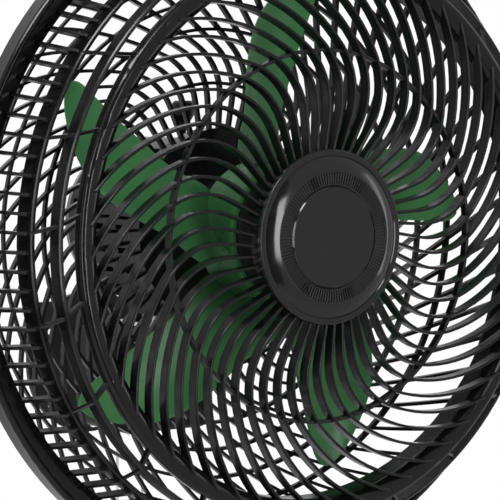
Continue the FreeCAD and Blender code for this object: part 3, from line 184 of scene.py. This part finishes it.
class Surface:
    """A Principled material with grain, blotches, worn edges and painted shade in corners, in the object's own
    coordinates.
    """

    def __init__(self, name, roughness, specular=0.5, metallic=0.0):
        self.material = bpy.data.materials.new(name)
        self.material.use_nodes = True
        self.nodes = self.material.node_tree.nodes
        self.links = self.material.node_tree.links
        self.shader = self.nodes["Principled BSDF"]
        self.shader.inputs["Roughness"].default_value = roughness
        self.shader.inputs["Specular IOR Level"].default_value = specular
        self.shader.inputs["Metallic"].default_value = metallic
        self.place = self.nodes.new("ShaderNodeTexCoord").outputs["Object"]
        self.bump = None

    def noise(self, scale, detail):
        noise = self.nodes.new("ShaderNodeTexNoise")
        noise.inputs["Scale"].default_value = scale
        noise.inputs["Detail"].default_value = detail
        self.links.new(self.place, noise.inputs["Vector"])
        return noise.outputs["Fac"]

    def worn(self, amount):
        """The level of edge wear and painted shade: high on outer edges, which are worn paler, low in corners, which
        are painted darker as shade, broken up by grain.
        """
        edge = self.nodes.new("ShaderNodeNewGeometry").outputs["Pointiness"]
        level = self.nodes.new("ShaderNodeMath")
        level.operation = "MULTIPLY_ADD"
        self.links.new(self.noise(scale=160, detail=5), level.inputs[0])
        level.inputs[1].default_value = amount
        self.links.new(edge, level.inputs[2])
        return level.outputs[0]

    def colour(self, factor, stops):
        """Base colour from a ramp of (position, colour) stops."""
        ramp = self.nodes.new("ShaderNodeValToRGB")
        elements = ramp.color_ramp.elements
        elements[0].position, elements[0].color = stops[0][0], (*stops[0][1], 1)
        elements[1].position, elements[1].color = stops[-1][0], (*stops[-1][1], 1)
        for position, colour in stops[1:-1]:
            elements.new(position).color = (*colour, 1)
        self.links.new(factor, ramp.inputs["Fac"])
        self.links.new(ramp.outputs["Color"], self.shader.inputs["Base Color"])

    def gloss(self, factor, low, high):
        """Roughness that wanders between two values."""
        span = self.nodes.new("ShaderNodeMapRange")
        span.inputs["From Min"].default_value = NOISE_LOW
        span.inputs["From Max"].default_value = NOISE_HIGH
        span.inputs["To Min"].default_value = low
        span.inputs["To Max"].default_value = high
        self.links.new(factor, span.inputs["Value"])
        self.links.new(span.outputs["Result"], self.shader.inputs["Roughness"])

    def eased(self, radius):
        """Edges that shade as if rounded by the given radius."""
        bevel = self.nodes.new("ShaderNodeBevel")
        bevel.samples = 6
        bevel.inputs["Radius"].default_value = radius
        self.bump = bevel.outputs["Normal"]

    def raised(self, height, strength, distance):
        """Bump from one more height, laid over what is there already."""
        bump = self.nodes.new("ShaderNodeBump")
        bump.inputs["Strength"].default_value = strength
        bump.inputs["Distance"].default_value = distance
        self.links.new(height, bump.inputs["Height"])
        if self.bump is not None:
            self.links.new(self.bump, bump.inputs["Normal"])
        self.bump = bump.outputs["Normal"]
        self.links.new(self.bump, self.shader.inputs["Normal"])


def moulded(name, dark, base, worn, roughness, specular, grain=1400, relief=0.12, ease=0.0009):
    """Moulded plastic: fine spark-eroded grain, faint flow blotches, edges a little paler from wear, corners darker as
    painted shade.
    """
    surface = Surface(name, roughness, specular)
    surface.eased(ease)
    # Colour ramp: the dark stop is painted shade in corners, creases and grooves, the worn stop paler edge wear.
    surface.colour(surface.worn(0.06), [(0.44, dark), (0.52, base), (0.56, base), (0.68, worn)])
    surface.gloss(surface.noise(scale=38, detail=4), roughness - 0.07, roughness + 0.07)
    surface.raised(surface.noise(scale=55, detail=2), strength=0.05, distance=0.002)
    surface.raised(surface.noise(grain, detail=2), relief, distance=0.0003)
    return surface


def metal(name, dark, base, worn, roughness):
    """Machined or plated metal, with fine tool marks, paler worn edges and painted shade in corners."""
    surface = Surface(name, roughness, metallic=1.0)
    # Colour ramp: the dark stop is painted shade in corners, the worn stop paler edge wear.
    surface.colour(surface.worn(0.1), [(0.42, dark), (0.55, base), (0.72, worn)])
    surface.gloss(surface.noise(scale=120, detail=4), roughness - 0.08, roughness + 0.1)
    surface.raised(surface.noise(scale=700, detail=3), strength=0.2, distance=0.0002)
    return surface


def banded(surface, axis, pitch, strength, distance):
    """Fine even ridges across one axis, as of stacked sheets or wound wire."""
    wave = surface.nodes.new("ShaderNodeTexWave")
    wave.bands_direction = axis
    wave.inputs["Scale"].default_value = WAVE_SCALE / pitch
    wave.inputs["Distortion"].default_value = 0.4
    surface.links.new(surface.place, wave.inputs["Vector"])
    surface.raised(wave.outputs["Fac"], strength, distance)
    return surface


def make_materials():
    """Dress every node, and give back the cords' material."""
    black = moulded("grille_black", dark=(0.002, 0.002, 0.0022), base=(0.0035, 0.0035, 0.0038),
                    worn=(0.02, 0.02, 0.021), roughness=0.18, specular=0.16, relief=0.04, ease=0.0007)
    shell = moulded("shell_black", dark=(0.002, 0.002, 0.0022), base=(0.004, 0.004, 0.0043),
                    worn=(0.02, 0.02, 0.021), roughness=0.34, specular=0.12)
    # The cap's dark colour is painted shade in its grooves, and its pale edge colour is set high so the groove edges
    # show: partly edge wear, partly painted highlight.
    cap = moulded("cap_gloss", dark=(0.003, 0.003, 0.0033), base=(0.006, 0.006, 0.0064),
                  worn=(0.05, 0.05, 0.052), roughness=0.12, specular=0.22, relief=0.02, ease=0.0002)
    green = moulded("blade_green", dark=(0.026, 0.105, 0.034), base=(0.046, 0.168, 0.058),
                    worn=(0.1, 0.28, 0.13), roughness=0.3, specular=0.15, grain=1200, relief=0.06)
    cord = moulded("cord_cotton", dark=(0.25, 0.24, 0.23), base=(0.52, 0.51, 0.5),
                   worn=(0.68, 0.67, 0.66), roughness=0.85, specular=0.2, grain=2600, relief=0.5)
    ivory = moulded("switch_ivory", dark=(0.42, 0.4, 0.34), base=(0.62, 0.6, 0.53),
                    worn=(0.7, 0.69, 0.63), roughness=0.5, specular=0.4)
    smoke = moulded("capacitor_grey", dark=(0.12, 0.12, 0.13), base=(0.22, 0.22, 0.23),
                    worn=(0.32, 0.32, 0.33), roughness=0.45, specular=0.4)
    nylon = moulded("gear_nylon", dark=(0.5, 0.49, 0.45), base=(0.72, 0.71, 0.67),
                    worn=(0.8, 0.79, 0.76), roughness=0.48, specular=0.45)
    steel = metal("plated_steel", dark=(0.3, 0.3, 0.31), base=(0.56, 0.56, 0.57), worn=(0.8, 0.8, 0.8), roughness=0.3)
    cast = metal("cast_zinc", dark=(0.2, 0.2, 0.21), base=(0.38, 0.38, 0.39), worn=(0.6, 0.6, 0.6), roughness=0.5)
    bronze = metal("sintered_bronze", dark=(0.25, 0.15, 0.06), base=(0.5, 0.33, 0.14),
                   worn=(0.72, 0.52, 0.28), roughness=0.42)
    sheets = metal("core_sheets", dark=(0.12, 0.12, 0.13), base=(0.3, 0.3, 0.31), worn=(0.5, 0.5, 0.5), roughness=0.45)
    stack = banded(sheets, "Y", pitch=0.0007, strength=0.6, distance=0.0004)
    wire = metal("winding_copper", dark=(0.2, 0.06, 0.02), base=(0.46, 0.17, 0.06),
                 worn=(0.7, 0.34, 0.16), roughness=0.3)
    copper = banded(wire, "DIAGONAL", pitch=0.0009, strength=0.8, distance=0.0005)
    finishes = {
        black: ("front_grille", "rear_grille", "grille_ring_nut"),
        shell: ("motor_front_shell", "motor_rear_shell", "arm_housing", "arm_cover", "wall_plate", "tilt_knob",
                "oscillation_knob", "cable_gland", "spinner_nut", "cord_eyelet_left", "cord_eyelet_right",
                "gearbox_case", "gearbox_lid"),
        cap: ("front_cap",),
        green: ("fan_blade",),
        cord: ("pull_cord_left", "pull_cord_right"),
        ivory: ("pull_switch_left", "pull_switch_right", "pull_plunger_left", "pull_plunger_right"),
        smoke: ("run_capacitor",),
        steel: ("tilt_bolt", "cover_screws", "shaft", "drive_pin", "oscillation_link", "oscillation_crank"),
        cast: ("motor_rear_bell", "motor_front_bell"),
        bronze: ("rear_bearing", "front_bearing"),
        nylon: ("gear_shaft", "pull_bell_left", "pull_bell_right"),
        stack: ("stator", "rotor_core"),
        copper: ("windings",),
    }
    for surface, names in finishes.items():
        for name in names:
            slots = bpy.data.objects[name].data.materials
            slots.clear()
            slots.append(surface.material)
    return cord.material


# Pull cords

def route_points(name, points):
    """Points along a smooth spline through a cord's route."""
    data = bpy.data.curves.new(name, "CURVE")
    data.dimensions = "3D"
    spline = data.splines.new("NURBS")
    spline.points.add(len(points) - 1)
    for point, place in zip(spline.points, points):
        point.co = (*place, 1)
    spline.order_u = 3
    spline.use_endpoint_u = True
    spline.resolution_u = 60
    guide = add_object(name, data)
    bpy.context.view_layer.update()
    line = bpy.data.meshes.new_from_object(guide)
    places = [vertex.co.copy() for vertex in line.vertices]
    bpy.data.meshes.remove(line)
    bpy.data.objects.remove(guide)
    bpy.data.curves.remove(data)
    return places


def around(middle, radius, turn):
    """A point on a level circle."""
    return middle + Vector((math.cos(turn), math.sin(turn), 0)) * radius


def twisted_cord(name, places, diameter):
    """Strands wound round the cord's line, closed at both ends."""
    mesh = bpy.data.meshes.new(name)
    form = bmesh.new()
    strand_radius = diameter * STRAND_SHARE
    lay_radius = diameter / 2 - strand_radius
    steps = [math.tau * side / STRAND_SIDES for side in range(STRAND_SIDES)]
    for strand in range(STRAND_COUNT):
        rings = []
        travelled = 0.0
        for index, place in enumerate(places):
            if index:
                travelled += (place - places[index - 1]).length
            turn = math.tau * (travelled / STRAND_PITCH + strand / STRAND_COUNT)
            middle = around(place, lay_radius, turn)
            rings.append([form.verts.new(around(middle, strand_radius, step)) for step in steps])
        for low, high in zip(rings, rings[1:]):
            for side in range(STRAND_SIDES):
                after = (side + 1) % STRAND_SIDES
                form.faces.new((low[side], high[side], high[after], low[after]))
        form.faces.new(rings[0])
        form.faces.new(reversed(rings[-1]))
    bmesh.ops.recalc_face_normals(form, faces=form.faces)
    for face in form.faces:
        face.smooth = True
    form.to_mesh(mesh)
    form.free()
    return add_object(name, mesh)


def make_cords(material):
    for side, sign in (("left", -1), ("right", 1)):
        exit_place = Vector((sign * CORD_X, -CORD_DEPTH, CORD_TOP))
        route = [exit_place - Vector((0, 0, CORD_LENGTH * drop)) for drop in CORD_DROPS]
        places = route_points(f"cord_line_{side}", route)
        piece = twisted_cord(f"twisted_cord_{side}", places, CORD_DIAMETER)
        piece.data.materials.append(material)
        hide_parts(f"pull_cord_{side}")
        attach(piece, f"{side}_pull")


make_camera()
make_lights()
make_world()
make_floor()
make_dark_flat()
cord_material = make_materials()
make_cords(cord_material)
